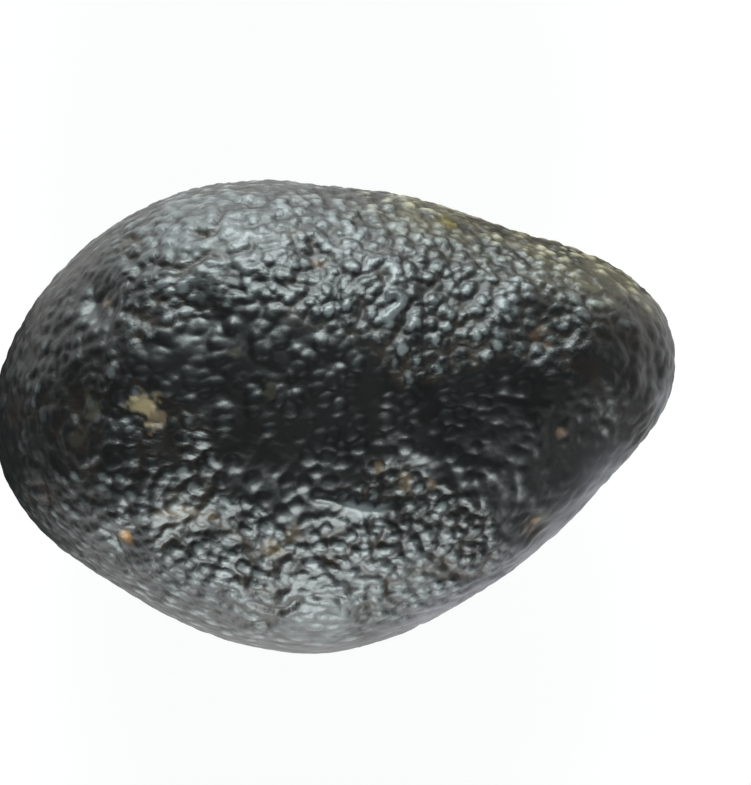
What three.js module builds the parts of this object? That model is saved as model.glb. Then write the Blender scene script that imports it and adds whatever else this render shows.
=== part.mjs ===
// A raw australite tektite: one pebble of natural black glass, as it is picked up from the desert.
// Seen from above it is a blunt drop, with its tip at +X. It is flatter than it is wide, it is worn
// flat where it lies, and its skin is lumped, pitted and grooved all over by flow and by etching.
// Units are millimetres. +Z is up, z = 0 is the flat that it lies on, and the box is centred on X and Y.

import * as THREE from "three";
import { mergeVertices } from "three/addons/utils/BufferGeometryUtils.js";

// Driving sizes of the body

// Reach of the outline from the middle, every 20 degrees, anticlockwise from +X.
const OUTLINE_RADII = [
  12.38, 12.94, 10.45, 9.02, 8.67, 9.07, 9.98, 11.12, 12.3,
  13.0, 12.16, 10.43, 9.56, 9.05, 8.72, 8.54, 8.98, 10.13,
];
const [TIP_REACH, , , , SIDE_REACH, , , , , BLUNT_REACH] = OUTLINE_RADII;
const CROWN_HEIGHT = 7.4; // from the widest level up to the top
const BELLY_DEPTH = 5.9; // from the widest level down to where the belly would end
const REST_DEPTH = 5.66; // from the widest level down to the worn flat
const FULLNESS = 2.15; // 2 is an ellipsoid, and more is boxier
const TAPER = 0.14; // share of the thickness lost at the tip, and gained at the blunt end
const GRID_CELLS = [37, 26, 20]; // cells along the length, width and height of the grid

// Driving sizes of the skin: size is across the stone's surface, and height is from the lowest to
// the highest of the feature

const SWELLS = { size: 5.2, height: 0.3 }; // the broad uneven swells
const LUMPS = { size: 2.2, height: 0.2 }; // the smaller lumps on them
const PLATES = { size: 1.3, height: 0.28, groove: 0.6 }; // rounded plates, with grooves between them
const PLATE_LEVEL = 0.6; // share of the plates' height that is taken from below the smooth body
const WARP = { size: 3.0, reach: 0.9 }; // how far the flow drags the plates out of line
const CALM = { share: 0.5, reach: 2.2 }; // the worn rim: share of the relief lost, and how far up
const RIM_FADE = 1.2; // how far past the widest level a landmark of one half reaches
const LANDMARK_EDGE = 3; // how steep the sides of a landmark are

// Hollows and knobs that stand out by eye: plan place, radius across the skin, and height above it.
// side is 1 on the upper half and -1 on the lower half.
const LANDMARKS = [
  { x: -5.6, y: -4.2, side: 1, radius: 0.8, height: -0.26 },
  { x: -4.3, y: -4.4, side: 1, radius: 0.9, height: -0.3 },
  { x: -3.3, y: -5.3, side: 1, radius: 0.9, height: -0.26 },
  { x: -7.8, y: -4.7, side: 1, radius: 0.7, height: -0.28 },
  { x: 7.62, y: -4.23, side: 1, radius: 0.55, height: -0.18 },
  { x: 7.9, y: 3.2, side: 1, radius: 1.1, height: -0.28 },
  { x: -7, y: 0.2, side: 1, radius: 1.1, height: -0.28 },
  { x: -9.1, y: 0.3, side: 1, radius: 0.8, height: -0.22 },
  { x: -8.7, y: 4.3, side: 1, radius: 0.8, height: -0.24 },
  { x: 2.4, y: -2.5, side: 1, radius: 1.2, height: -0.24 },
  { x: -0.6, y: 5.7, side: 1, radius: 0.9, height: -0.24 },
  { x: -4.9, y: 3.8, side: 1, radius: 1, height: -0.24 },
  { x: 4.2, y: 1.4, side: 1, radius: 1.6, height: -0.2 },
  { x: -4.2, y: 1.8, side: 1, radius: 1.8, height: -0.16 },
  { x: 5.1, y: -0.4, side: 1, radius: 1.4, height: -0.2 },
  { x: -1.4, y: -0.4, side: 1, radius: 1.8, height: 0.14 },
  { x: -0.7, y: -7.4, side: 1, radius: 1.7, height: 0.18 },
  { x: 1.7, y: 3.2, side: 1, radius: 2, height: 0.14 },
  { x: -5.4, y: 6.4, side: 1, radius: 2, height: 0.16 },
  { x: 11.3, y: 1.2, side: 1, radius: 1.3, height: 0.15 },
  { x: 9.4, y: -0.8, side: 1, radius: 1.5, height: -0.2 },
  { x: 12, y: 1.6, side: 1, radius: 0.6, height: -0.25 },
  { x: 10.6, y: -2.1, side: -1, radius: 1.4, height: -0.4 },
  { x: 5.2, y: -6.3, side: -1, radius: 1.5, height: -0.45 },
  { x: -7.6, y: -6, side: -1, radius: 1.6, height: -0.45 },
  { x: -10.9, y: 2.6, side: -1, radius: 1.4, height: -0.4 },
  { x: -2.2, y: 7.4, side: -1, radius: 1.7, height: -0.5 },
  { x: 6.4, y: 5.7, side: -1, radius: 1.3, height: -0.4 },
];

// Which draw of random numbers each part of the relief takes.
const DRAWS = { swells: 11, lumps: 12, warp: [21, 22, 23], plates: [31, 32, 33] };

// The outline

// The outline as a sum of waves round the stone, worked out once from the radii.
const OUTLINE_WAVES = (() => {
  const count = OUTLINE_RADII.length;
  const waves = [];
  for (let turns = 0; turns <= count / 2; turns++) {
    const share = turns === 0 || turns === count / 2 ? 1 / count : 2 / count;
    let cosine = 0;
    let sine = 0;
    OUTLINE_RADII.forEach((radius, step) => {
      const angle = (2 * Math.PI * turns * step) / count;
      cosine += share * radius * Math.cos(angle);
      sine += share * radius * Math.sin(angle);
    });
    waves.push({ turns, cosine, sine });
  }
  return waves;
})();

// Reach of the outline at an angle, and how fast it changes with the angle.
function outlineAt(angle) {
  let reach = 0;
  let slope = 0;
  for (const { turns, cosine, sine } of OUTLINE_WAVES) {
    const c = Math.cos(turns * angle);
    const s = Math.sin(turns * angle);
    reach += cosine * c + sine * s;
    slope += turns * (sine * c - cosine * s);
  }
  return { reach, slope };
}

// The smooth body: a superellipsoid whose plan is the outline. Returns the point of the body in the
// direction of a point of the unit sphere, and the way out of the skin there.
function bodyAt(unit) {
  const tiny = 1e-9;
  const height = unit.z >= 0 ? CROWN_HEIGHT : BELLY_DEPTH;
  const way = new THREE.Vector3(
    unit.x * BLUNT_REACH,
    unit.y * SIDE_REACH,
    unit.z * height,
  ).normalize();
  const flat = Math.max(Math.hypot(way.x, way.y), tiny);
  const { reach, slope } = outlineAt(Math.atan2(way.y, way.x));
  const across = (flat / reach) ** FULLNESS;
  const upright = (Math.abs(way.z) / height) ** FULLNESS;
  const point = way.clone().multiplyScalar((across + upright) ** (-1 / FULLNESS));
  point.z *= 1 - (TAPER * point.x) / TIP_REACH;
  const outward = across / flat;
  const sideways = (-across * slope) / (reach * flat);
  const normal = new THREE.Vector3(
    (outward * way.x - sideways * way.y) / flat,
    (outward * way.y + sideways * way.x) / flat,
    (Math.sign(way.z) * upright) / Math.max(Math.abs(way.z), tiny),
  ).normalize();
  return { point, normal };
}

// Random numbers that are the same on every run

// A number from 0 to 1 for a cell of space. The large odd numbers only mix the bits of its indices.
function randomAt(i, j, k, draw) {
  let bits = Math.imul(i, 374761393) ^ Math.imul(j, 668265263) ^ Math.imul(k, 1274126177);
  bits ^= Math.imul(draw, 974634777);
  bits = Math.imul(bits ^ (bits >>> 15), 2246822519);
  bits = Math.imul(bits ^ (bits >>> 13), 3266489917);
  return ((bits ^ (bits >>> 16)) >>> 0) / 2 ** 32;
}

// A step from 0 to 1 with soft ends.
const eased = (t) => t * t * (3 - 2 * t);

// Smooth noise from -1 to 1: random numbers at the corners of unit cells, blended in between.
function noiseAt(x, y, z, draw) {
  const [i, j, k] = [x, y, z].map(Math.floor);
  const [u, v, w] = [eased(x - i), eased(y - j), eased(z - k)];
  let sum = 0;
  for (const [di, shareX] of [[0, 1 - u], [1, u]])
    for (const [dj, shareY] of [[0, 1 - v], [1, v]])
      for (const [dk, shareZ] of [[0, 1 - w], [1, w]])
        sum += shareX * shareY * shareZ * randomAt(i + di, j + dj, k + dk, draw);
  return 2 * sum - 1;
}

// Distances to the nearest and the second nearest of points scattered one to a unit cell.
function cellsAt(x, y, z, draws) {
  const [i, j, k] = [x, y, z].map(Math.floor);
  let nearest = Infinity;
  let second = Infinity;
  for (let a = i - 1; a <= i + 1; a++)
    for (let b = j - 1; b <= j + 1; b++)
      for (let c = k - 1; c <= k + 1; c++) {
        const distance = Math.hypot(
          x - a - randomAt(a, b, c, draws[0]),
          y - b - randomAt(a, b, c, draws[1]),
          z - c - randomAt(a, b, c, draws[2]),
        );
        if (distance < nearest) [nearest, second] = [distance, nearest];
        else if (distance < second) second = distance;
      }
  return { nearest, second };
}

// The skin's relief, as heights above the smooth body

function swellAt({ x, y, z }) {
  const swell = noiseAt(x / SWELLS.size, y / SWELLS.size, z / SWELLS.size, DRAWS.swells);
  const lump = noiseAt(x / LUMPS.size, y / LUMPS.size, z / LUMPS.size, DRAWS.lumps);
  return (SWELLS.height * swell + LUMPS.height * lump) / 2;
}

function plateAt({ x, y, z }) {
  const drag = DRAWS.warp.map(
    (draw) => WARP.reach * noiseAt(x / WARP.size, y / WARP.size, z / WARP.size, draw),
  );
  const { nearest, second } = cellsAt(
    (x + drag[0]) / PLATES.size,
    (y + drag[1]) / PLATES.size,
    (z + drag[2]) / PLATES.size,
    DRAWS.plates,
  );
  const flatness = eased(Math.min((second - nearest) / PLATES.groove, 1));
  return PLATES.height * (flatness - PLATE_LEVEL);
}

function landmarkAt({ x, y, z }) {
  let sum = 0;
  for (const { x: middleX, y: middleY, side, radius, height } of LANDMARKS) {
    const away = Math.hypot(x - middleX, y - middleY) / radius;
    const overRim = THREE.MathUtils.clamp((1 + (side * z) / RIM_FADE) / 2, 0, 1);
    sum += height * eased(overRim) * Math.exp(-(away ** LANDMARK_EDGE));
  }
  return sum;
}

function reliefAt(point) {
  const wear = 1 - CALM.share * Math.exp(-((point.z / CALM.reach) ** 2));
  return wear * (swellAt(point) + plateAt(point)) + landmarkAt(point);
}

// The mesh: the six grids of a box, blown out to the unit sphere and laid over the body

function tektiteGeometry() {
  const box = new THREE.BoxGeometry(2, 2, 2, ...GRID_CELLS);
  box.deleteAttribute("normal");
  box.deleteAttribute("uv");
  const geometry = mergeVertices(box, 1e-4);
  const place = geometry.getAttribute("position");
  const unit = new THREE.Vector3();
  for (let v = 0; v < place.count; v++) {
    unit.fromBufferAttribute(place, v);
    // The tangent evens out the cells, which would otherwise bunch up at the box's corners.
    unit.set(...unit.toArray().map((t) => Math.tan((t * Math.PI) / 4))).normalize();
    const { point, normal } = bodyAt(unit);
    point.addScaledVector(normal, reliefAt(point));
    point.z = Math.max(point.z, -REST_DEPTH);
    place.setXYZ(v, point.x, point.y, point.z);
  }
  geometry.computeBoundingBox();
  const middle = geometry.boundingBox.getCenter(new THREE.Vector3());
  geometry.translate(-middle.x, -middle.y, REST_DEPTH);
  geometry.computeVertexNormals();
  return geometry;
}

const blackGlass = new THREE.MeshStandardMaterial({
  color: new THREE.Color(0.035, 0.037, 0.038),
  roughness: 0.35,
  metalness: 0,
});

const tektite = new THREE.Mesh(tektiteGeometry(), blackGlass);
tektite.name = "tektite";

const stone = new THREE.Group();
stone.add(tektite);

export default stone;
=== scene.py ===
# %% [markdown]
# A raw australite tektite: one drop-shaped pebble of black natural glass, shown from straight above.
# It was shaped by melting in flight and then etched for ages in the ground, so its skin is all small
# beads, platelets, grooves and pits. The lesson builds that skin as one mesh over a smooth body.

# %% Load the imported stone
import math

import bpy
import numpy as np
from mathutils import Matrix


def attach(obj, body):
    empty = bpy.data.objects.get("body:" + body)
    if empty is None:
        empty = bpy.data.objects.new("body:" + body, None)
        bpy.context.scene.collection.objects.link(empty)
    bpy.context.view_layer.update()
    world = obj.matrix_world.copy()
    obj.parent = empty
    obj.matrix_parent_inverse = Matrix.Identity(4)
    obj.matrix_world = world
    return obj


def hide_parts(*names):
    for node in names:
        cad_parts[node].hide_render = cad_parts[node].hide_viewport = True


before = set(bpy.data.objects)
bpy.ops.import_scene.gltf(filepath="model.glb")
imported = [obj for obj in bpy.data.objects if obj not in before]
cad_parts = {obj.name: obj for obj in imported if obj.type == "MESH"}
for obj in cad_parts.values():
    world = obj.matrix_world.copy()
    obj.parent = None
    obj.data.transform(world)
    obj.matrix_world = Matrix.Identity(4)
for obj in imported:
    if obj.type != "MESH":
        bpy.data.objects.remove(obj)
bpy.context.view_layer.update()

# %% [markdown]
# The body under the skin. The real stone is a blunt drop, flatter than it is wide. It could be
# sculpted by hand, but a formula keeps it the same on every run: a superellipsoid, which is an
# ellipsoid that may be a little boxier, whose plan is the stone's own outline. The outline is given
# as 18 radii, and a sum of waves joins them smoothly.

# %% The outline, in millimetres
outline_radii = np.array([
    12.38, 12.94, 10.45, 9.02, 8.67, 9.07, 9.98, 11.12, 12.3,
    13.0, 12.16, 10.43, 9.56, 9.05, 8.72, 8.54, 8.98, 10.13,
])
tip_reach, side_reach, blunt_reach = outline_radii[[0, 4, 9]]


def outline(angle):
    """The outline's reach at an angle and its rate of change: the 18 radii as a sum of cosine and
    sine waves that turn 0 to 9 times round the stone."""
    count = len(outline_radii)
    around = 2 * np.pi * np.arange(count) / count
    reach, slope = np.zeros_like(angle), np.zeros_like(angle)
    for turns in range(count // 2 + 1):
        share = (1 if turns in (0, count // 2) else 2) / count
        cosine = share * (outline_radii * np.cos(turns * around)).sum()
        sine = share * (outline_radii * np.sin(turns * around)).sum()
        reach += cosine * np.cos(turns * angle) + sine * np.sin(turns * angle)
        slope += turns * (sine * np.cos(turns * angle) - cosine * np.sin(turns * angle))
    return reach, slope


print("reach in mm: tip", tip_reach, "side", side_reach, "blunt end", blunt_reach)

# %% The body's surface
crown_height, belly_depth = 7.4, 5.9
fullness, taper = 2.15, 0.14
tiny = 1e-9


def body(unit):
    """Point of the body and its outward normal in the direction of each unit vector, once that is
    drawn out to the stone's length, width and height. Along a ray, (flat share / reach) and
    (upright share / height), each to the power of fullness, sum to 1. The height is then lowered
    evenly along the stone, by the share called taper at the tip."""
    height = np.where(unit[:, 2] >= 0, crown_height, belly_depth)
    length, width = np.full(len(unit), blunt_reach), np.full(len(unit), side_reach)
    way = unit * np.stack([length, width, height], 1)
    way /= np.linalg.norm(way, axis=1, keepdims=True)
    flat = np.maximum(np.hypot(way[:, 0], way[:, 1]), tiny)
    reach, slope = outline(np.arctan2(way[:, 1], way[:, 0]))
    across = (flat / reach) ** fullness
    upright = (np.abs(way[:, 2]) / height) ** fullness
    point = way * ((across + upright) ** (-1 / fullness))[:, None]
    point[:, 2] *= 1 - taper * point[:, 0] / tip_reach
    out, side = across / flat, -across * slope / (reach * flat)
    normal = np.stack([
        (out * way[:, 0] - side * way[:, 1]) / flat,
        (out * way[:, 1] + side * way[:, 0]) / flat,
        np.sign(way[:, 2]) * upright / np.maximum(np.abs(way[:, 2]), tiny),
    ], 1)
    return point, normal / np.linalg.norm(normal, axis=1, keepdims=True)


top_and_bottom, _ = body(np.array([[0.0, 0.0, 1.0], [0.0, 0.0, -1.0]]))
print("body in mm: crown", top_and_bottom[0, 2].round(2), "belly", top_and_bottom[1, 2].round(2))

# %% [markdown]
# The grid that the body is laid on. A globe's grid pinches at its poles, where a stone would show a
# star of thin triangles. A box blown up to a ball has no poles. Its six sides get as many cells as
# the stone is long, wide and high, a tangent evens out the cells near the box's corners, and they
# are drawn a little towards the crown, which is the side that is looked at most.

# %% A box of cells
def box_grid(cells):
    """Corners in -1 to 1 and outward quads of a box whose sides are cut into a whole number of
    cells along X, Y and Z: on each side, corner = (i / cells, j / cells), shared along the edges."""
    wide, high = cells[1] + 1, cells[2] + 1
    sides = []
    for axis in range(3):
        first, second = (axis + 1) % 3, (axis + 2) % 3
        i, j = np.meshgrid(
            np.arange(cells[first] + 1), np.arange(cells[second] + 1), indexing="ij")
        for far in (0, 1):
            place = [None] * 3
            place[axis], place[first], place[second] = np.full_like(i, far * cells[axis]), i, j
            key = (place[0] * wide + place[1]) * high + place[2]
            quad = np.stack([key[:-1, :-1], key[1:, :-1], key[1:, 1:], key[:-1, 1:]], -1)
            quad = quad.reshape(-1, 4)
            sides.append(quad if far else quad[:, ::-1])
    keys, corner = np.unique(np.concatenate(sides), return_inverse=True)
    lattice = np.stack([keys // (wide * high), keys // high % wide, keys % high], 1)
    return 2 * lattice / np.array(cells) - 1, corner.reshape(-1, 4)


grid_cells = (154, 107, 123)
corners, quads = box_grid(grid_cells)
print("grid:", len(corners), "points,", 2 * len(quads), "triangles")

# %% The box blown up to a ball, and laid on the body
crown_pull = 0.45
ball = np.tan(corners * np.pi / 4)
ball /= np.linalg.norm(ball, axis=1, keepdims=True)
polar = np.arccos(np.clip(ball[:, 2], -1, 1))
pulled = polar - crown_pull * np.sin(polar)
ball[:, :2] *= (np.sin(pulled) / np.maximum(np.sin(polar), tiny))[:, None]
ball[:, 2] = np.cos(pulled)
smooth_point, normal = body(ball)
along, aside, above = smooth_point.T
print("smooth body in mm:", (smooth_point.max(0) - smooth_point.min(0)).round(2))

# %% [markdown]
# Random numbers for the relief. Every bump needs chance in its place and size, but the stone must
# come out the same each time. So each cell of space gets its numbers by mixing the bits of its own
# indices, with no generator to seed. Two patterns are made from them: smooth noise, which blends
# the numbers between cells, and scattered points, whose nearest one tells which bead a place is on.

# %% Random numbers by cell
cell_factors = np.array([374761393, 668265263, 1274126177], np.uint32)
draw_factor = 974634777
stir_factors = np.array([2246822519, 3266489917], np.uint32)
low_bits = 0xFFFFFFFF


def random_at(i, j, k, draw):
    """A number from 0 to 1 for each cell: its indices and the draw times large odd numbers, then
    mixed bit by bit."""
    i, j, k = ((n.astype(np.int64) & low_bits).astype(np.uint32) for n in (i, j, k))
    bits = (i * cell_factors[0]) ^ (j * cell_factors[1]) ^ (k * cell_factors[2])
    bits ^= np.uint32((draw * draw_factor) & low_bits)
    bits = (bits ^ (bits >> np.uint32(15))) * stir_factors[0]
    bits = (bits ^ (bits >> np.uint32(13))) * stir_factors[1]
    return (bits ^ (bits >> np.uint32(16))) / 2.0**32


print("four cells' numbers in draw 11:", random_at(*np.indices((4, 1, 1)).reshape(3, -1), 11).round(3))

# %% Soft steps and noise
def eased(t):
    """A step from 0 to 1 with soft ends: 3 t squared less 2 t cubed."""
    t = np.clip(t, 0, 1)
    return t * t * (3 - 2 * t)


def ramp(value, start, end):
    """A share that goes softly from 0 where the value is start to 1 where it is end, which may be
    the lower of the two."""
    return eased((value - start) / (end - start))


def noise(point, size, draw):
    """Smooth noise from -1 to 1 with lumps of this size: the eight corners' numbers, blended."""
    place = point / size
    cell = np.floor(place)
    part = eased(place - cell)
    total = np.zeros(len(point))
    for step in np.ndindex(2, 2, 2):
        share = np.prod(np.where(step, part, 1 - part), axis=1)
        total += share * random_at(*(cell + step).T, draw)
    return 2 * total - 1


def drift(point, size, first_draw):
    """A way to push each point, -1 to 1 along each axis: three draws of noise with this size."""
    return np.stack([noise(point, size, first_draw + axis) for axis in range(3)], 1)


print("noise at 0, 1, 2 and 3 mm:", noise(np.outer(np.arange(4), (1, 0, 0)), 1.7, 11).round(2))

# %% Scattered points
def scatter(point, size, draws):
    """Distances, in cells, to the nearest and the second nearest of points that are scattered one
    to a cell of this size."""
    place = point / size
    cell = np.floor(place)
    nearest, second = np.full(len(point), np.inf), np.full(len(point), np.inf)
    for step in np.ndindex(3, 3, 3):
        near = cell + step - 1
        offset = place - near - np.stack([random_at(*near.T, draw) for draw in draws], 1)
        distance = np.linalg.norm(offset, axis=1)
        second = np.minimum(second, np.maximum(nearest, distance))
        nearest = np.minimum(nearest, distance)
    return nearest, second


to_points = np.round(scatter(np.zeros((1, 3)), 1.0, (31, 32, 33)), 2).ravel()
print("cells from the middle to the nearest and the second point:", *to_points)

# %% [markdown]
# The coarse relief is what shows from a step away: broad swells, smaller lumps, rounded plates with
# grooves between them, and a few hollows and knobs that stand out by eye. It could be modelled with
# a displacement texture, but as a sum of formulas it is real geometry. The plain solid of the stone
# has the same sum, a little stronger where it stands for the beads, so that the two agree.

# %% Landmarks: the hollows and knobs that stand out
round_pit = (7.62, -4.23)
landmarks = [
    # x, y, side (1 upper half, -1 lower half), radius, height
    (-5.6, -4.2, 1, 0.8, -0.16), (-4.3, -4.4, 1, 0.9, -0.2), (-3.3, -5.3, 1, 0.9, -0.26),
    (-7.8, -4.7, 1, 0.7, -0.18), (*round_pit, 1, 0.55, -0.18), (7.9, 3.2, 1, 1.1, -0.28),
    (-7.0, 0.2, 1, 1.1, -0.28), (-9.1, 0.3, 1, 0.8, -0.22), (-8.7, 4.3, 1, 0.8, -0.24),
    (2.4, -2.5, 1, 1.2, -0.24), (-0.6, 5.7, 1, 0.9, -0.24), (-4.9, 3.8, 1, 1.0, -0.24),
    (4.2, 1.4, 1, 1.6, -0.2), (-4.2, 1.8, 1, 1.8, -0.16),
    (5.1, -0.4, 1, 1.4, -0.2), (-1.4, -0.4, 1, 1.8, 0.14), (-0.7, -7.4, 1, 1.7, 0.18),
    (1.7, 3.2, 1, 2.0, 0.14), (-5.4, 6.4, 1, 2.0, 0.16), (11.3, 1.2, 1, 1.3, 0.15),
    (9.4, -0.8, 1, 1.5, -0.2), (12.0, 1.6, 1, 0.6, -0.25),
    (10.6, -2.1, -1, 1.4, -0.4), (5.2, -6.3, -1, 1.5, -0.45), (-7.6, -6.0, -1, 1.6, -0.45),
    (-10.9, 2.6, -1, 1.4, -0.4), (-2.2, 7.4, -1, 1.7, -0.5), (6.4, 5.7, -1, 1.3, -0.4),
]
print("landmarks:", len(landmarks))

# %% Swells, lumps and plates
swell_size, swell_rise = 5.2, 0.15
lump_size, lump_rise = 2.2, 0.05
plate_size, plate_rise, groove_width = 1.3, 0.05, 0.6
drag_size, drag_reach = 3.0, 0.9
rim_loss, rim_half_height = 0.5, 2.2
side_change = 1.2


def coarse_relief(point):
    """Height of the coarse relief: swells and lumps of noise, plus plates that fall off within a
    groove and are dragged about by the flow, all worn down by half at the widest level, plus each
    landmark's bell, which falls with the cube of the distance."""
    height = swell_rise * noise(point, swell_size, 11) + lump_rise * noise(point, lump_size, 12)
    dragged = point + drag_reach * drift(point, drag_size, 21)
    nearest, second = scatter(dragged, plate_size, (31, 32, 33))
    height += plate_rise * (ramp(second - nearest, 0, groove_width) - 0.6)
    height *= 1 - rim_loss * np.exp(-((point[:, 2] / rim_half_height) ** 2))
    for x, y, side, radius, rise in landmarks:
        away = np.hypot(point[:, 0] - x, point[:, 1] - y) / radius
        height += rise * ramp(side * point[:, 2], -side_change, side_change) * np.exp(-(away**3))
    return height


coarse = coarse_relief(smooth_point)
print("coarse relief in mm: from", coarse.min().round(2), "to", coarse.max().round(2))

# %% [markdown]
# The fine relief is the etched skin. Acid soil ate the glass along its flow, so the beads are drawn
# out one way here and another way there, run together into sheets in places, and are almost gone at
# the two ends. The stone is therefore split into soft regions, each with its own flow direction,
# stretch and strength, and the regions' heights are blended. Bumps in the material alone would be
# quicker, but they vanish from the outline and from the exported shape.

# %% Regions of the skin
regions = [
    # x, y, radius, flow in degrees, stretch, bead size, height, share of the places with a bead
    (-5.2, 6.7, 2.6, 25, 1.2, 0.46, 1.0, 1.0),
    (-6.2, 4.7, 1.8, 10, 1.4, 0.47, 1.0, 1.0),
    (0.8, 5.2, 3.4, 48, 1.2, 0.47, 1.05, 1.0),
    (3.6, 3.2, 3.0, 52, 1.25, 0.46, 1.05, 0.9),
    (8.0, 4.8, 3.0, 30, 1.2, 0.42, 1.05, 0.9),
    (-0.7, 0.4, 4.2, 40, 1.15, 0.44, 0.6, 0.27),
    (4.8, -0.4, 3.2, 30, 1.15, 0.42, 0.55, 0.27),
    (-5.0, 2.3, 1.8, 10, 1.3, 0.46, 0.5, 0.45),
    (-6.6, -2.0, 2.6, -12, 1.2, 0.46, 0.75, 0.65),
    (-4.2, -5.2, 2.4, -30, 1.3, 0.46, 0.9, 0.95),
    (2.6, -4.6, 3.4, 10, 1.2, 0.48, 1.05, 0.95),
    (-0.6, -7.6, 1.4, 0, 1.3, 0.48, 0.7, 1.0),
    (-11.4, 0.4, 2.8, 90, 1.3, 0.42, 0.75, 0.5),
    (-10.0, 4.4, 2.0, 60, 1.3, 0.42, 0.7, 0.6),
    (-10.2, -3.8, 2.0, -50, 1.3, 0.42, 0.85, 0.85),
    (11.4, 1.4, 2.6, 60, 1.2, 0.5, 0.6, 0.7),
    (8.2, -1.8, 3.0, 30, 1.15, 0.46, 0.42, 0.4),
]
print("regions:", len(regions))

# %% Cracks, worm-like ridges and ring pits
strokes = [
    # height (below 0 for a crack), width, then the places that it runs through
    (-0.08, 0.10, (-3.5, 7.75), (-3.95, 7.7), (-4.4, 7.05)),
    (-0.07, 0.10, (-4.8, 6.65), (-4.4, 6.8)),
    (-0.09, 0.11, (-4.2, 5.8), (-4.75, 5.75), (-5.2, 5.55), (-5.75, 5.4), (-6.3, 5.5), (-6.8, 5.65)),
    (-0.07, 0.10, (-3.0, 6.3), (-3.15, 5.9)),
    (-0.08, 0.10, (-1.2, -6.8), (-1.8, -7.2), (-2.3, -7.2), (-2.65, -7.15)),
    (-0.08, 0.10, (-3.5, -7.75), (-2.85, -7.7), (-2.4, -7.75), (-2.0, -7.25)),
    (-0.07, 0.10, (-0.7, -6.6), (-0.2, -6.5), (0.25, -6.7)),
    (-0.09, 0.12, (1.95, -6.2), (2.15, -6.8), (2.5, -7.15), (2.75, -7.0)),
    (-0.07, 0.10, (-0.4, -5.1), (-0.2, -5.4), (0.25, -5.5)),
    (-0.08, 0.12, (-2.35, -5.5), (-1.95, -5.15), (-1.7, -5.1)),
    (-0.10, 0.16, (4.1, -5.3), (4.5, -5.9), (4.85, -5.95)),
    (-0.07, 0.10, (-3.45, -6.2), (-3.25, -6.55), (-2.7, -6.5)),
    (-0.08, 0.10, (-8.1, -3.55), (-7.6, -3.95)),
    (0.15, 0.17, (1.9, 3.55), (2.1, 3.75), (2.4, 3.95), (2.5, 4.2), (2.35, 4.4), (2.1, 4.4)),
    (0.11, 0.19, (0.5, -3.3), (1.0, -3.45), (1.55, -3.5), (2.2, -3.45)),
    (0.12, 0.19, (-0.6, -3.0), (0.05, -3.1)),
]
ring_pits = [(-7.6, 6.3, 0.38), (1.2, -7.35, 0.32)]
print("strokes:", len(strokes), "ring pits:", len(ring_pits))

# %% The strokes in relief
ring_depth, ring_width = 0.08, 0.11
full_height, wobble = 1.5, 0.06


def bell_along(point, width, places):
    """A bell across a broken line in plan: full on the line, and gone a few widths away."""
    nearest = np.full(len(point), np.inf)
    for start, end in zip(places[:-1], places[1:]):
        run = np.subtract(end, start)
        share = np.clip(((point[:, :2] - start) @ run) / (run @ run), 0, 1)
        off_line = point[:, :2] - start - share[:, None] * run
        nearest = np.minimum(nearest, np.linalg.norm(off_line, axis=1))
    return np.exp(-((nearest / width) ** 2))


def stroke_relief(point):
    """Height of the cracks and ridges, each its bell times its rise, and of the ring pits, a bell
    across a circle. They are full 1.5 mm above the widest level and gone at it."""
    height = np.zeros(len(point))
    for rise, width, *places in strokes:
        height += rise * bell_along(point, width, places)
    for x, y, radius in ring_pits:
        away = np.hypot(point[:, 0] - x, point[:, 1] - y)
        height -= ring_depth * np.exp(-(((away - radius) / ring_width) ** 2))
    return height * ramp(point[:, 2], 0, full_height)


cracks = stroke_relief(smooth_point + wobble * drift(smooth_point, 0.5, 44))
print("strokes in mm: from", cracks.min().round(2), "to", cracks.max().round(2))

# %% Beads
dome_low, dome_range, dome_reach = 0.25, 0.45, 0.55
depth_share, free_depth = 0.7, 0.1
melt_width = 0.12
ground_level, no_bead = -0.6, -1.0


def beads(point, outward, flow, stretch, size, share, draw):
    """Height of the beads, in bead sizes: on each scattered point that has one, a dome whose height
    falls with the square of the distance. The highest dome wins, and neighbours melt together a
    little where they meet. Distances count for less along the flow, and across the skin's depth, so
    that a bead whose middle lies a bit under the skin or over it still shows. Where beads are few,
    those that lie deep are made lower."""
    turn = math.radians(flow)
    to_flow = np.array([
        [math.cos(turn) / stretch, math.sin(turn) / stretch, 0],
        [-math.sin(turn), math.cos(turn), 0],
        [0, 0, 1],
    ])
    place = point @ to_flow.T / size
    upright = outward @ np.linalg.inv(to_flow)
    upright /= np.linalg.norm(upright, axis=1, keepdims=True)
    cell = np.floor(place)
    top = np.full(len(point), ground_level)
    for step in np.ndindex(3, 3, 3):
        near = cell + step - 1
        numbers = [random_at(*near.T, draw + extra) for extra in range(4)]
        offset = place - near - np.stack(numbers[:3], 1)
        deep = (offset * upright).sum(1) ** 2
        away = (offset**2).sum(1) - depth_share * deep
        dome = dome_low + dome_range * numbers[0] - away / dome_reach
        dome -= (1 - share) * np.maximum(deep - free_depth, 0)
        dome = np.where(numbers[3] < share, dome, no_bead)
        gap = np.abs(top - dome)
        top = np.maximum(top, dome) + np.maximum(melt_width - gap, 0) ** 2 / (4 * melt_width)
    return size * top


print("domes stand", dome_low, "to", round(dome_low + dome_range, 2), "bead sizes high")

# %% The etched skin, region by region
bead_height, mean_bead = 0.31, 0.25
small_size, small_share = 0.45, 0.35
region_edge, least_weight = 12, 0.004


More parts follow.
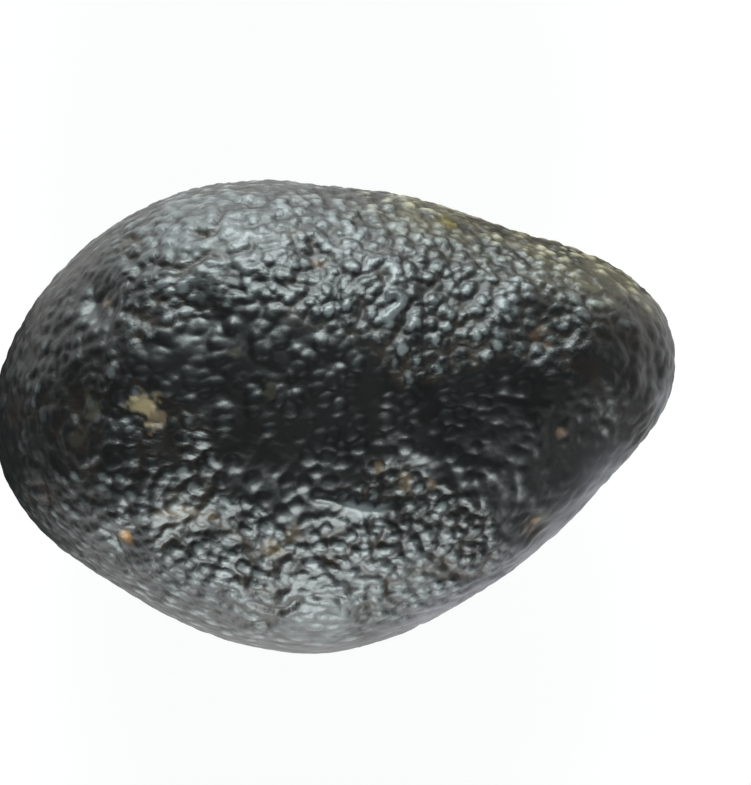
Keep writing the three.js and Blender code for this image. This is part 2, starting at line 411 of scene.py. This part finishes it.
def fine_relief(point, outward):
    """Height of the etched skin, and how high its beads can be there: every region's beads, large
    and small, weighted by e to the power of -12 (distance / radius) squared."""
    wobbly = point + wobble * drift(point, 0.6, 41)
    wobbly += 0.5 * wobble * drift(point, 0.27, 47)
    far = np.array([
        region_edge * (np.hypot(point[:, 0] - x, point[:, 1] - y) / radius) ** 2
        for x, y, radius, *_ in regions])
    weights = np.exp(far.min(0) - far)
    weights /= weights.sum(0)
    total, strength = np.zeros(len(point)), np.zeros(len(point))
    for number, (_, _, _, flow, stretch, size, rise, share) in enumerate(regions):
        here = weights[number] > least_weight
        grown, facing = wobbly[here], outward[here]
        lumps = beads(grown, facing, flow, stretch, size, share, 51 + 4 * number)
        lumps += small_share * share * beads(
            grown, facing, flow, stretch, small_size * size, share, 151 + 4 * number)
        total[here] += weights[number, here] * rise * (lumps - mean_bead * size)
        strength += weights[number] * size * rise
    return bead_height * total, bead_height * strength


fine, strength = fine_relief(smooth_point, normal)
print("fine relief in mm: from", fine.min().round(3), "to", fine.max().round(3))

# %% [markdown]
# Wear. Water and sand have rubbed the rim, most of all on the near side, and the beads are soft
# there. They are also low inside the round pit, and beside the worm-like ridges, which would be lost
# among them otherwise. A smooth brush could rub them down by hand. Here it is one number per point,
# by which the fine relief is multiplied, so that it can be changed at any time.

# %% Where the skin is worn
pit_radius = 0.62
rim_loss_mean, rim_loss_swing, sharp_azimuth = 0.42, 0.3, math.radians(75)
pit_loss, beside_ridge_loss, beside_ridge = 0.8, 0.75, 1.5


def away_from(x, y, wide, deep):
    """Distance from the upper skin's point at a place in plan, as a share of the half width and the
    half depth. The height counts for 0.7 of that, so that nothing is drawn out down the sides."""
    plan = np.hypot(along - x, aside - y)
    middle = smooth_point[np.where(above > 0, plan, np.inf).argmin()]
    share = (smooth_point - middle) / np.array([wide, deep, max(wide, deep) / 0.7])
    return np.linalg.norm(share, axis=1)


turned = np.arctan2(aside, along) - sharp_azimuth
sharpness = 1 - (rim_loss_mean - rim_loss_swing * np.cos(turned)) * ramp(above, 4.0, 0.8)
in_pit = np.exp(-(away_from(*round_pit, pit_radius, pit_radius) ** 4))
sharpness *= 1 - pit_loss * in_pit
for rise, width, *places in strokes:
    if rise > 0:
        near_ridge = bell_along(smooth_point, beside_ridge * width, places) * (above > 0)
        sharpness *= 1 - beside_ridge_loss * near_ridge
print("sharpness of the beads: from", sharpness.min().round(2), "to", sharpness.max().round(2))

# %% [markdown]
# Now the skin is one closed mesh: each point of the body moves along its normal by the relief, and
# whatever would sink below the flat that the stone rests on is planed off there. Sculpting or a
# Displace modifier would do the same point by point. Whole arrays do it at once, and give the same
# mesh on every run.

# %% The skin's points
rest_depth = 5.66
skin_point = smooth_point + normal * (coarse + cracks + sharpness * fine)[:, None]
skin_point[:, 2] = np.maximum(skin_point[:, 2], -rest_depth)
middle = (skin_point.max(0) + skin_point.min(0)) / 2
skin_point -= [middle[0], middle[1], -rest_depth]
print("skin in mm:", (skin_point.max(0) - skin_point.min(0)).round(2), "middle", middle.round(3))

# %% The skin's mesh
skin_mesh = bpy.data.meshes.new("tektite_skin")
skin_mesh.vertices.add(len(skin_point))
skin_mesh.vertices.foreach_set("co", (skin_point / 1000).astype(np.float32).ravel())
skin_mesh.loops.add(4 * len(quads))
skin_mesh.loops.foreach_set("vertex_index", quads.astype(np.int32).ravel())
skin_mesh.polygons.add(len(quads))
skin_mesh.polygons.foreach_set("loop_start", np.arange(0, 4 * len(quads), 4, dtype=np.int32))
skin_mesh.polygons.foreach_set("use_smooth", np.ones(len(quads), bool))
skin_mesh.update(calc_edges=True)
skin_mesh.validate()
skin = bpy.data.objects.new("tektite_skin", skin_mesh)
bpy.context.scene.collection.objects.link(skin)
print("skin mesh:", len(skin_mesh.vertices), "points,", len(skin_mesh.polygons), "quads")

# %% How steep the skin came out
skin_normal = np.zeros(3 * len(skin_point), np.float32)
skin_mesh.vertices.foreach_get("normal", skin_normal)
cosine = np.clip((skin_normal.reshape(-1, 3) * normal).sum(1), -1, 1)
lean = np.degrees(np.arccos(cosine))[above > 2]
print("lean of the skin on the crown, degrees rms:", np.sqrt((lean**2).mean()).round(1))

# %% [markdown]
# The colour. The glass is black, and all that is pale or brown on it is thin: an etched haze on the
# beads' tops, which is also their painted highlight in the two bands that the soft boxes light, soil in
# the grooves, pale grains with painted highlights along the rims, a painted reflection in lilac along
# the near right rim and at the tip, frosted sheets that are also painted highlight, spots of tan,
# orange and rust where soil stayed in a pit, painted shade and a painted highlight in the round pit,
# and a painted glow of light through the olive glass. A picture wrapped round the stone would smear
# down its sides. So each point of the mesh gets a colour of its own, laid on like thin coats of paint,
# by masks that know how high the point lies in the relief and where it is on the stone.

# %% Coats of paint
def painted(paint, colour, share):
    """The paint mixed with a colour by a share from 0 to 1."""
    return paint + share[:, None] * (np.array(colour) - paint)


def blotchy(middle, swing, size, draw):
    """A share that comes and goes over the skin in blotches of a size: a middle value plus swing
    times noise, eased."""
    return eased(middle + swing * noise(smooth_point, size, draw))


crown_side = ramp(above, 0, 1.2)


def patch(x, y, wide, deep, ragged, draw):
    """Share of a ragged patch: 1 inside an ellipse whose edge noise pushes in and out, 0 outside."""
    away = away_from(x, y, wide, deep)
    coarse_edge, fine_edge = noise(smooth_point, 0.34, draw), noise(smooth_point, 0.17, draw + 100)
    return ramp(away - ragged * (0.7 * coarse_edge + 0.5 * fine_edge), 1.16, 0.36) * crown_side


print("share of the points on the crown:", crown_side.mean().round(3))

# %% Heights that guide the paint
crack_share, ridge_share = 2.0, 0.8
strokes_seen = np.where(cracks < 0, crack_share, ridge_share) * cracks
level = (sharpness * fine + strokes_seen) / strength
hollow = np.clip(-0.15 - 2 * level, 0, 1) * np.minimum(strength / 0.1, 1)
low_place = ramp(level, 0.3, -0.2)
dense = ramp(strength, 0.075, 0.125)
print("level: from", level.min().round(2), "to", level.max().round(2), "hollow", hollow.mean().round(3))

# %% The glass, grey where it is etched and brown at the tip
glass_black, etched_grey = (0.0008, 0.0008, 0.001), (0.003, 0.0034, 0.0037)
tip_brown = (0.008, 0.0065, 0.0065)
paint = np.tile(glass_black, (len(skin_point), 1))
paint = painted(paint, etched_grey, ramp(level, -0.2, 0.4))
paint = painted(paint, tip_brown, 0.7 * ramp(along, 8.4, 11.4))
print("glass", paint.mean(0).round(4))

# %% Haze and painted highlights on the beads' tops, amber along the far right rim, brown in the grooves
haze_and_highlight, warm_haze_and_highlight, amber = (0.095, 0.1025, 0.104), (0.12, 0.106, 0.08), (0.1, 0.083, 0.048)
groove_brown = (0.014, 0.0083, 0.0048)
far_right = (
    ramp(aside, 3.0, 5.0) * ramp(along, -0.5, 3.5) * ramp(above, 5.4, 2.0) * ramp(above, -4.0, -1.0))
# Painted highlight: the pale haze goes on the beads' tops only where the beads are dense, in the two
# bands that the soft boxes light. It is partly an etched haze and partly the beads' highlights painted
# in.
haze_and_highlight_share = dense * blotchy(0.6, 0.9, 0.8, 79) * ramp(level, 0.02, 0.34)
paint = painted(paint, amber, far_right * (0.5 + 0.5 * low_place) * blotchy(0.55, 0.7, 0.7, 71))
paint = painted(paint, haze_and_highlight, haze_and_highlight_share)
paint = painted(paint, warm_haze_and_highlight, haze_and_highlight_share * far_right)
paint = painted(paint, groove_brown, dense * hollow * blotchy(0.55, 0.6, 1.6, 72))
print("hazed share", haze_and_highlight_share.mean().round(3), "paint", paint.mean(0).round(4))

# %% [markdown]
# The rims. They are paler than the crown: soil and pale grains cling to the far one and to the near
# left one, and on the beads' tops there the grains are also painted highlights; the near right one has
# a painted reflection of the pale floor, in lilac. The grains could be small pieces of their own, but
# they are flatter than the mesh's cells, so they are colour. Grains and painted highlights follow the
# beads' tops.

# %% Soil, and pale grains that are also painted highlights, along the rims
soil_brown_and_shade, pale_grain_and_highlight, cream_grain_and_highlight = (0.012, 0.008, 0.005), (0.1, 0.098, 0.09), (0.26, 0.225, 0.14)
rim_band = ramp(above, -0.5, 1.0) * ramp(above, 4.8, 2.4)
far_side = ramp(aside, 2.0, 5.0)
near_left = ramp(aside, -3.0, -5.0) * ramp(along, 0.5, -2.5)
grains_and_highlights = ramp(level, -0.05, 0.35) * rim_band * (far_side + near_left) * blotchy(0.55, 0.8, 0.6, 70)
paint = painted(paint, soil_brown_and_shade, 0.6 * rim_band * far_side * ramp(level, 0.1, -0.2))
# Painted highlight: the pale and cream grains lie on the beads' tops along the far and the near left
# rim. They are partly grains and partly the highlights that those beads catch.
paint = painted(paint, pale_grain_and_highlight, 0.8 * grains_and_highlights)
paint = painted(paint, cream_grain_and_highlight, 0.9 * grains_and_highlights * far_right)
print("grains' share", grains_and_highlights.mean().round(3))

# %% Painted reflection in lilac along the near right rim and at the tip
lilac_reflection = (0.085, 0.079, 0.09)
near_right = ramp(aside, -0.5, -2.5) * ramp(along, 1.0, 4.0)
rim_edge = ramp(above, 4.0, 1.6) * ramp(above, -4.6, 0.4)
# Painted reflection: the lilac along the near right rim and the lilac patch at the tip stand for the
# pale floor and room that the steep glass reflects there. The mottle only breaks it up.
reflection_mottle = (0.7 + 0.3 * ramp(level, -0.1, 0.4)) * (0.5 + 0.5 * blotchy(0.7, 0.8, 0.9, 69))
paint = painted(paint, lilac_reflection, near_right * rim_edge * reflection_mottle)
paint = painted(paint, lilac_reflection, 0.8 * patch(12.4, 0.5, 0.5, 1.0, 0.6, 68))
print("lilac share", (near_right * rim_edge * reflection_mottle).mean().round(3))

# %% [markdown]
# Sheets and spots. In three places the skin is a smooth frosted sheet, painted paler as frost and also
# as the painted highlight that the soft boxes put on it, and about twenty small pits hold soil or an
# iron stain; in the yellow one, painted light shines through the olive glass. Each is a given ragged
# patch: an ellipse in plan whose edge noise bites into. Its distances count the height too, because a
# spot that is only laid down from above would be drawn out into a streak on a steep side.

# %% Frosted sheets, painted paler also as their highlight
frost_and_highlight, thin_frost_and_highlight = (0.036, 0.0365, 0.038), (0.07, 0.0735, 0.0745)
frost_and_highlight_plate = patch(-0.6, -7.5, 1.6, 1.3, 0.8, 73)
sheet = np.maximum(patch(-5.0, 6.7, 2.9, 1.9, 0.7, 74), 0.5 * patch(1.6, -6.3, 2.4, 1.3, 0.9, 75))
# Painted highlight: the frosted plate and the two sheets lie in the bands that the soft boxes light.
# Their pale paint is partly frost and partly that highlight.
paint = painted(paint, frost_and_highlight, frost_and_highlight_plate * (1 - hollow))
paint = painted(paint, thin_frost_and_highlight, (1 - frost_and_highlight_plate) * sheet * (1 - hollow) * 0.8)
print("frosted share", frost_and_highlight_plate.mean().round(3), "sheets", sheet.mean().round(3))

# %% Spots of soil, and painted light through the olive glass
cream, tan, olive = (0.16, 0.125, 0.07), (0.085, 0.06, 0.035), (0.028, 0.026, 0.018)
orange, rust, yellow_glass_glow = (0.2, 0.1, 0.035), (0.055, 0.032, 0.019), (0.075, 0.054, 0.005)
soil_spots = [
    # x, y, half width, half depth, raggedness, colour, strength
    (-7.0, 0.3, 0.55, 0.5, 1.1, cream, 1.0), (-6.6, -0.2, 0.3, 0.45, 1.2, tan, 0.9),
    (-9.05, 0.3, 0.35, 0.5, 0.9, olive, 1.0), (-7.75, -4.6, 0.3, 0.34, 0.5, orange, 1.0),
    (-8.65, 4.4, 0.3, 0.3, 0.8, tan, 0.8), (-0.5, 5.75, 0.42, 0.24, 0.8, rust, 1.0),
    (-1.4, 6.8, 0.35, 0.3, 0.8, rust, 0.7), (7.8, 3.15, 0.4, 0.3, 0.8, rust, 1.0),
    (8.1, 2.65, 0.3, 0.2, 0.8, rust, 1.0), (2.7, -2.55, 0.36, 0.36, 1.0, tan, 0.8),
    (1.7, -1.95, 0.24, 0.24, 0.9, tan, 0.8), (3.6, -2.6, 0.25, 0.25, 0.9, rust, 0.8),
    (-2.3, -5.0, 0.42, 0.36, 1.0, tan, 0.8),
    (-3.6, 2.35, 0.24, 0.3, 1.2, olive, 0.7), (-2.3, 1.0, 0.26, 0.3, 1.4, olive, 0.6),
    (8.55, -0.75, 0.22, 0.2, 0.8, rust, 1.0), (-9.5, -0.75, 0.3, 0.3, 1.2, olive, 0.5),
    (-6.0, -3.2, 0.5, 0.5, 1.3, olive, 0.5), (-1.4, -4.4, 0.3, 0.3, 1.2, tan, 0.5),
]
for number, (*spot, colour, amount) in enumerate(soil_spots):
    share = amount * (0.35 + 0.65 * low_place)
    paint = painted(paint, colour, share * patch(*spot, 81 + number))
# Painted light: the yellow patch is the olive glass with light shining through its edge, painted on as
# colour.
paint = painted(paint, yellow_glass_glow, 0.9 * patch(4.2, 7.3, 0.5, 0.34, 0.6, 76))
print("soil spots:", len(soil_spots) + 1)

# %% The long brown hollow and the round pit
hollow_places = [(-6.2, -4.15), (-5.2, -4.0), (-4.3, -4.2), (-3.4, -4.6), (-3.0, -5.3)]
hollow_rim = [(-6.4, -3.78), (-5.4, -3.6), (-4.5, -3.78)]
hollow_width = 0.24
ragged_point = smooth_point + 0.16 * drift(smooth_point, 0.4, 44)
soiled = bell_along(ragged_point, hollow_width, hollow_places)
tanned = blotchy(0.6, 0.9, 0.45, 84) * bell_along(ragged_point, hollow_width, hollow_rim)
paint = painted(paint, soil_brown_and_shade, 0.95 * soiled * crown_side)
paint = painted(paint, tan, 0.8 * tanned * crown_side)
# Painted shade: the round pit is painted soil brown, partly for its soil and partly for the shade of a
# pit whose walls reflect no floor.
paint = painted(paint, soil_brown_and_shade, 0.9 * in_pit)
# Painted highlight: the tan spot on the pit's upper edge is partly soil and partly the highlight that
# the edge catches.
paint = painted(paint, tan, patch(7.72, -4.05, 0.24, 0.2, 0.5, 83))
print("paint", paint.mean(0).round(4), "brightest", paint.max(0).round(3))

# %% [markdown]
# How the skin shines. The glass is satin, duller between the beads and smoother in the round pit.
# In three places the lines of the old flow still show, about 0.2 mm apart, and they bend with it.
# The finest grain is weak where the skin is calm. All of these are numbers kept on the mesh, so that
# the material needs no picture of the stone either.

# %% Numbers kept on the mesh
def keep_on_skin(name, values):
    """Stores one number, or one colour, per point on the mesh, for the material's Attribute node."""
    if values.ndim == 1:
        kept = skin_mesh.attributes.new(name, "FLOAT", "POINT")
        kept.data.foreach_set("value", values.astype(np.float32))
    else:
        rgba = np.concatenate([values, np.ones((len(values), 1))], 1)
        kept = skin_mesh.attributes.new(name, "FLOAT_COLOR", "POINT")
        kept.data.foreach_set("color", rgba.astype(np.float32).ravel())
    print(name, "mean", values.mean(0).round(4))


keep_on_skin("paint", paint)
matt_ground = ramp(level, 0.05, -0.45) * ramp(strength, 0.105, 0.145)
uneven = noise(smooth_point, 1.1, 77)
keep_on_skin("roughness", 0.43 + 0.12 * matt_ground - 0.12 * in_pit + 0.03 * uneven)
keep_on_skin("grainy", 0.35 + 0.65 * ramp(strength, 0.07, 0.13))

# %% The lines of the flow
flow_fall = 0.1 + 0.065 * (aside - 5)
keep_on_skin("stream", aside - flow_fall * (along + 5.5))
keep_on_skin("flowing", np.max([
    patch(-5.5, 4.8, 2.6, 1.0, 0.5, 78),
    patch(-5.3, -0.9, 3.0, 1.1, 0.5, 79),
    patch(-3.4, -5.0, 2.2, 1.1, 0.5, 80),
], 0))

# %% [markdown]
# The finish. The glass is opaque black with a satin skin, so one Principled shader does it, with
# the reflection of ordinary glass and no light let through. It takes its colour and roughness from
# the numbers on the mesh. What is smaller than the mesh's cells comes from bumps: the flow lines,
# beadlets of about 0.2 mm, and pits finer still. They read Object coordinates, which stay with the
# stone.

# %% The etched glass material
glass_ior = 1.5
glass = bpy.data.materials.new("etched_black_glass")
glass.use_nodes = True
nodes, links = glass.node_tree.nodes, glass.node_tree.links
shader = nodes["Principled BSDF"]
shader.inputs["IOR"].default_value = glass_ior


def node(kind, **settings):
    """A new node with its settings; a setting that names a socket fills the socket."""
    made = nodes.new(kind)
    for name, value in settings.items():
        if name in made.inputs:
            made.inputs[name].default_value = value
        else:
            setattr(made, name, value)
    return made


def kept_value(name, output="Fac"):
    """The output of an Attribute node that reads what is kept on the mesh under this name."""
    return node("ShaderNodeAttribute", attribute_name=name).outputs[output]


links.new(kept_value("paint", "Color"), shader.inputs["Base Color"])
links.new(kept_value("roughness"), shader.inputs["Roughness"])
skin_mesh.materials.append(glass)
print("glass: IOR", glass_ior, "with", len(nodes), "nodes so far")

# %% Flow lines
lines_per_mm, line_height = 5.0, 0.000017


def product(first, second):
    """The output of a Math node that multiplies two outputs."""
    made = node("ShaderNodeMath", operation="MULTIPLY")
    links.new(first, made.inputs[0])
    links.new(second, made.inputs[1])
    return made.outputs[0]


def bump(height, distance, **settings):
    """A Bump node that raises the surface by a height from 0 to 1 times a distance in metres."""
    made = node("ShaderNodeBump", Strength=1.0, Distance=distance, **settings)
    links.new(height, made.inputs["Height"])
    return made


lines = node("ShaderNodeTexNoise", noise_dimensions="1D", Scale=lines_per_mm, Detail=1.0)
links.new(kept_value("stream"), lines.inputs["W"])
line_bump = bump(product(lines.outputs["Fac"], kept_value("flowing")), line_height)
print("flow lines:", round(1 / lines_per_mm, 2), "mm apart,", line_height * 1000, "mm high")

# %% Beadlets and pits
beadlet_height, pit_height = 0.000019, 0.00001
beadlets_per_metre, pits_per_metre = 4200.0, 5600.0
place = node("ShaderNodeTexCoord").outputs["Object"]
beadlets = node(
    "ShaderNodeTexVoronoi", feature="SMOOTH_F1", Scale=beadlets_per_metre, Smoothness=0.3)
links.new(place, beadlets.inputs["Vector"])
domes = product(beadlets.outputs["Distance"], beadlets.outputs["Distance"])
beadlet_bump = bump(product(domes, kept_value("grainy")), beadlet_height, invert=True)
pits = node("ShaderNodeTexNoise", Scale=pits_per_metre, Detail=3.0)
links.new(place, pits.inputs["Vector"])
pit_bump = bump(product(pits.outputs["Fac"], kept_value("grainy")), pit_height)
links.new(line_bump.outputs["Normal"], beadlet_bump.inputs["Normal"])
links.new(beadlet_bump.outputs["Normal"], pit_bump.inputs["Normal"])
links.new(pit_bump.outputs["Normal"], shader.inputs["Normal"])
print("glass:", len(nodes), "nodes with its bumps")

# %% [markdown]
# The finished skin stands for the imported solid: it rides on the stone's one body, and takes its
# place in every view. The faceted solid could be given the glass instead, but it has no beads.

# %% Tie the skin to the frame
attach(skin, "root")
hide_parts("tektite")
print(skin.name, "rides on root, in place of tektite")

# %% [markdown]
# The floor is plain and near white, as a sheet of paper under a small find. A white floor would need
# strong lamps, which also whiten the stone. So it is dark and gives off light of its own, and stays
# pale away from the lamps with a faint shadow.

# %% The floor
floor_half, floor_grey, floor_glow = 6, 0.1, 0.88
floor_mesh = bpy.data.meshes.new("floor")
floor_corners = [(x * floor_half, y * floor_half, 0) for x, y in ((-1, -1), (1, -1), (1, 1), (-1, 1))]
floor_mesh.from_pydata(floor_corners, [], [(0, 1, 2, 3)])
floor = bpy.data.objects.new("floor", floor_mesh)
bpy.context.scene.collection.objects.link(floor)
pale = bpy.data.materials.new("pale_floor")
pale.use_nodes = True
pale_sockets = pale.node_tree.nodes["Principled BSDF"].inputs
pale_sockets["Base Color"].default_value = (floor_grey, floor_grey, floor_grey, 1)
pale_sockets["Roughness"].default_value = 1.0
pale_sockets["Specular IOR Level"].default_value = 0.0
pale_sockets["Emission Color"].default_value = (1, 1, 1, 1)
pale_sockets["Emission Strength"].default_value = floor_glow
floor_mesh.materials.append(pale)
print("floor:", 2 * floor_half, "m square, glow", floor_glow)

# %% [markdown]
# The light: two large soft boxes, one behind the stone and one in front, and nothing overhead. Each
# shows in the glass as a band of bright beads, and the dark overhead leaves the dark band between.
# One lamp overhead would be simpler, but it would put a bright spot just where the stone is black.
# Two small cards that glow on the floor brighten the far and the near rim, as white paper would.

# %% Soft boxes
box_away, box_tilt, box_wide, box_high = 1.2, math.radians(70), 0.86, 0.7


def area_lamp(name, location, turn, wide, high, watts, tint):
    """A rectangular lamp, in metres and watts, that lights the stone but isn't in the picture."""
    light = bpy.data.lights.new(name, "AREA")
    light.shape, light.size, light.size_y = "RECTANGLE", wide, high
    light.energy, light.color = watts, tint
    lamp = bpy.data.objects.new(name, light)
    lamp.location, lamp.rotation_euler = location, turn
    lamp.visible_camera = False
    bpy.context.scene.collection.objects.link(lamp)
    print(name, watts, "W")


def soft_box(name, azimuth, watts, tint):
    """A lamp 1.2 m from the stone, 70 degrees off vertical at this azimuth, turned to face it."""
    turn = math.radians(azimuth)
    flat = box_away * math.sin(box_tilt)
    location = (flat * math.cos(turn), flat * math.sin(turn), box_away * math.cos(box_tilt))
    facing = (box_tilt, 0, turn + math.pi / 2)
    area_lamp(name, location, facing, box_wide, box_high, watts, tint)


soft_box("soft_box_back", 92, 40, (0.88, 1.0, 0.99))
soft_box("soft_box_front", 274, 36, (0.9, 1.0, 0.99))

# %% Glowing cards
card_height, card_deep, card_tint = 0.0005, 0.1, (0.95, 1.0, 1.0)


def glow_card(name, y, wide, watts):
    """A lamp lying on the floor beside the stone and shining up, as a white card lit from above."""
    area_lamp(name, (0.0, y, card_height), (math.pi, 0, 0), wide, card_deep, watts, card_tint)


glow_card("glow_card_back", 0.063, 0.06, 0.018)
glow_card("glow_card_front", -0.063, 0.05, 0.016)

# %% [markdown]
# The pale floor also shines back from the steep rims, and in three places the real stone is dark
# there. A studio would lay black card beside the stone. The three flags here do just that, and as
# the camera, the floor and the shadows don't see them, they darken only what the glass reflects.

# %% Black flags
flag_height = 0.0008
black_card = bpy.data.materials.new("black_card")
black_card.use_nodes = True
card_sockets = black_card.node_tree.nodes["Principled BSDF"].inputs
card_sockets["Base Color"].default_value = (0.03, 0.03, 0.032, 1)
card_sockets["Specular IOR Level"].default_value = 0.0


def black_flag(name, near, far, half_width, turn):
    """A black card on the floor whose near and far edges are these distances from the stone's
    middle, turned about it by degrees."""
    mesh = bpy.data.meshes.new(name)
    edges = ((near, -half_width), (far, -half_width), (far, half_width), (near, half_width))
    mesh.from_pydata([(x, y, flag_height) for x, y in edges], [], [(0, 1, 2, 3)])
    card = bpy.data.objects.new(name, mesh)
    card.rotation_euler = (0, 0, math.radians(turn))
    bpy.context.scene.collection.objects.link(card)
    card.visible_camera = card.visible_shadow = card.visible_diffuse = False
    mesh.materials.append(black_card)
    print(name, "from", near, "to", far, "m")


black_flag("flag_left", 0.0125, 0.08, 0.009, 188)
black_flag("flag_right", 0.0185, 0.08, 0.012, -35)
black_flag("flag_back", 0.0125, 0.06, 0.008, 55)

# %% [markdown]
# The room. Its glow is weak overhead and strong low down at the back and the front, so that it
# widens the two soft boxes' bands softly. More lamps could do that, but each would leave an edge of
# its own in the glass. The camera sees a plain pale backdrop instead, which meets the floor at the
# horizon.

# %% The dim room
overhead_glow, side_glow = 0.03, 1.2
dim_until, full_from = 0.58, 0.97
room_tint, backdrop = (0.92, 1.0, 1.0, 1), (0.9, 0.9, 0.9, 1)
room = bpy.data.worlds.new("dim_room")
bpy.context.scene.world = room
room.use_nodes = True
room_nodes, room_links = room.node_tree.nodes, room.node_tree.links
way = room_nodes.new("ShaderNodeSeparateXYZ")
room_links.new(room_nodes.new("ShaderNodeTexCoord").outputs["Generated"], way.inputs["Vector"])
sideways = room_nodes.new("ShaderNodeMath")
sideways.operation = "ABSOLUTE"
room_links.new(way.outputs["Y"], sideways.inputs[0])
glow = room_nodes.new("ShaderNodeMapRange")
glow.interpolation_type = "SMOOTHSTEP"
room_links.new(sideways.outputs["Value"], glow.inputs["Value"])
glow_range = {
    "From Min": dim_until, "From Max": full_from, "To Min": overhead_glow, "To Max": side_glow}
for name, number in glow_range.items():
    glow.inputs[name].default_value = number
lit = room_nodes["Background"]
lit.inputs["Color"].default_value = room_tint
room_links.new(glow.outputs["Result"], lit.inputs["Strength"])
print("room: glow from", overhead_glow, "overhead to", side_glow, "at the sides")

# %% The backdrop that the camera sees
seen = room_nodes.new("ShaderNodeBackground")
seen.inputs["Color"].default_value = backdrop
path = room_nodes.new("ShaderNodeLightPath")
either = room_nodes.new("ShaderNodeMixShader")
room_links.new(path.outputs["Is Camera Ray"], either.inputs["Fac"])
room_links.new(lit.outputs["Background"], either.inputs[1])
room_links.new(seen.outputs["Background"], either.inputs[2])
room_links.new(either.outputs["Shader"], room_nodes["World Output"].inputs["Surface"])
print("backdrop", backdrop[:3])

# %% [markdown]
# The camera looks straight down with a long lens, so that the stone is drawn almost without
# perspective. A camera without any would do too, but a real lens is what a photographer has. The
# picture is 751 by 785, and its height spans 29.84 mm at the stone's widest level. The view
# transform is the plain one, because the other ones grey a white floor.

# %% The camera
picture_height, camera_away, sensor = 0.02984, 0.2, 36.0
camera_data = bpy.data.cameras.new("camera")
camera_data.sensor_width = sensor
camera_data.lens = sensor * camera_away / picture_height
camera_data.clip_start = 0.005
camera = bpy.data.objects.new("camera", camera_data)
camera.location = (0.00156, 0.00092, rest_depth / 1000 + camera_away)
bpy.context.scene.collection.objects.link(camera)
bpy.context.scene.camera = camera
bpy.context.scene.view_settings.view_transform = "Standard"
print("lens", round(camera_data.lens, 1), "mm")
